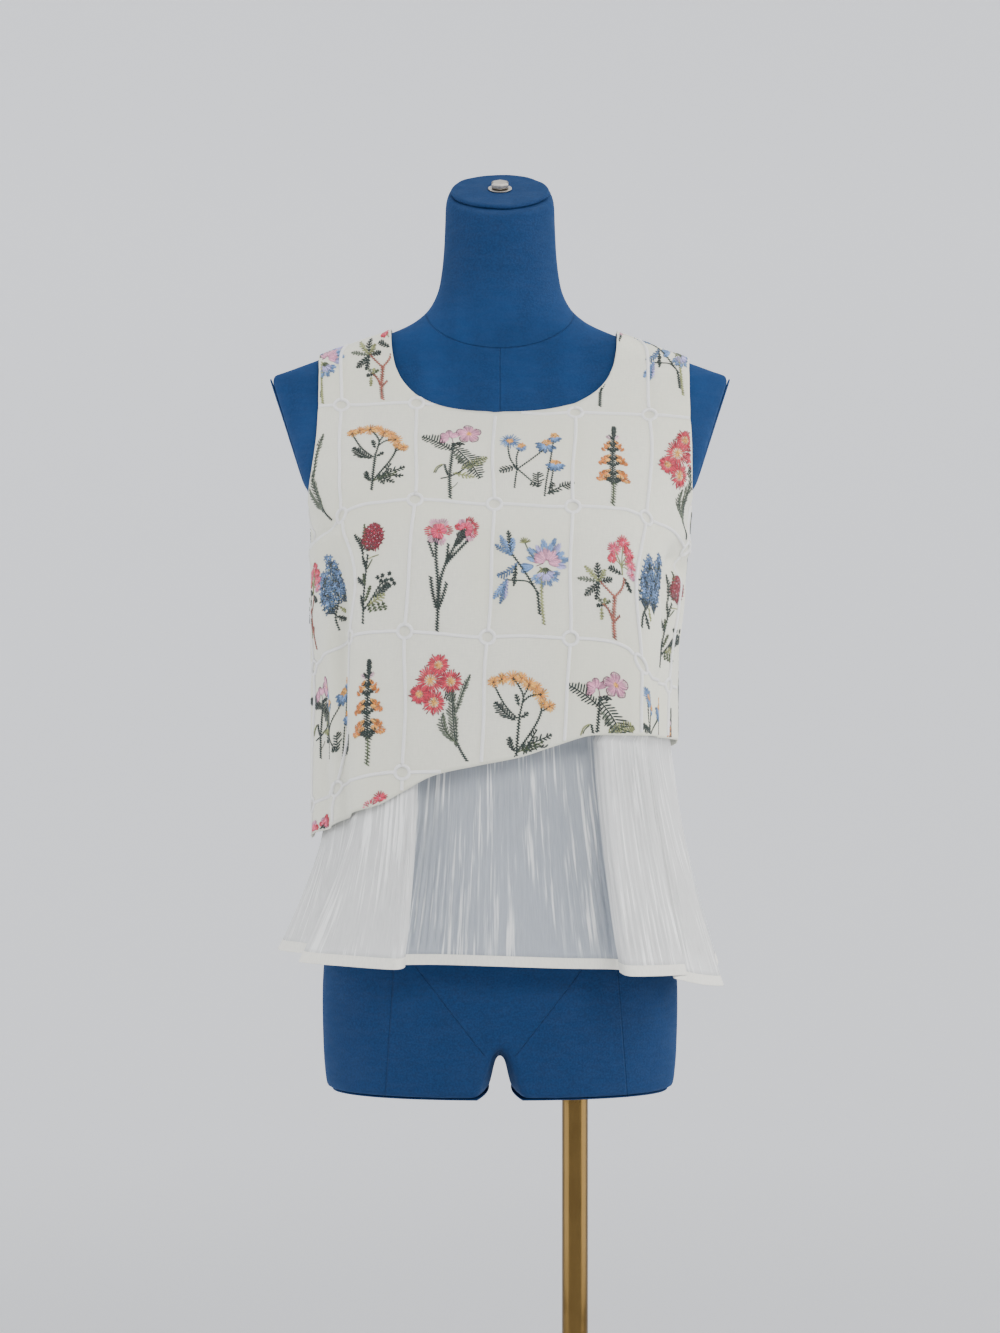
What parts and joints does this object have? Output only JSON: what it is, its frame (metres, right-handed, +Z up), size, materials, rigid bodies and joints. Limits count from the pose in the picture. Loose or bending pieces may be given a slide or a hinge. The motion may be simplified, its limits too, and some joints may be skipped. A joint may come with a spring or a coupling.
{
  "type": "sleeveless top on a dress form",
  "caption": "Sleeveless top with an embroidered bodice, a slanting hem and a sheer gathered peplum, worn by a limbless dress form on a pole stand.",
  "frame": {"origin": "middle of the underside of the stand's round foot, on the floor", "axes": "+Z up, the garment's front faces -Y, the wearer's left side is at +X"},
  "size_m": [0.403, 0.33, 1.5158],
  "materials": {
    "bodice_cloth": "matt plain weave with satin-stitch embroidery",
    "sheer_crinkle": "sheer crinkled weave with a soft sheen",
    "form_suede": "napped suede cover",
    "cap_metal": "satin",
    "stand_brass": "polished"
  },
  "bodies": {
    "root": {"front_bodice": "bodice_cloth", "back_bodice": "bodice_cloth", "peplum_front": "sheer_crinkle", "peplum_back": "sheer_crinkle", "form_torso": "form_suede", "form_neck": "form_suede", "arm_plate_left": "form_suede", "arm_plate_right": "form_suede", "thigh_plate_left": "form_suede", "thigh_plate_right": "form_suede", "neck_cap": "form_suede", "cap_washer": "cap_metal", "cap_nut": "cap_metal", "stand_pole": "stand_brass", "stand_foot": "stand_brass", "stand_collar": "stand_brass"}
  },
  "joints": []
}
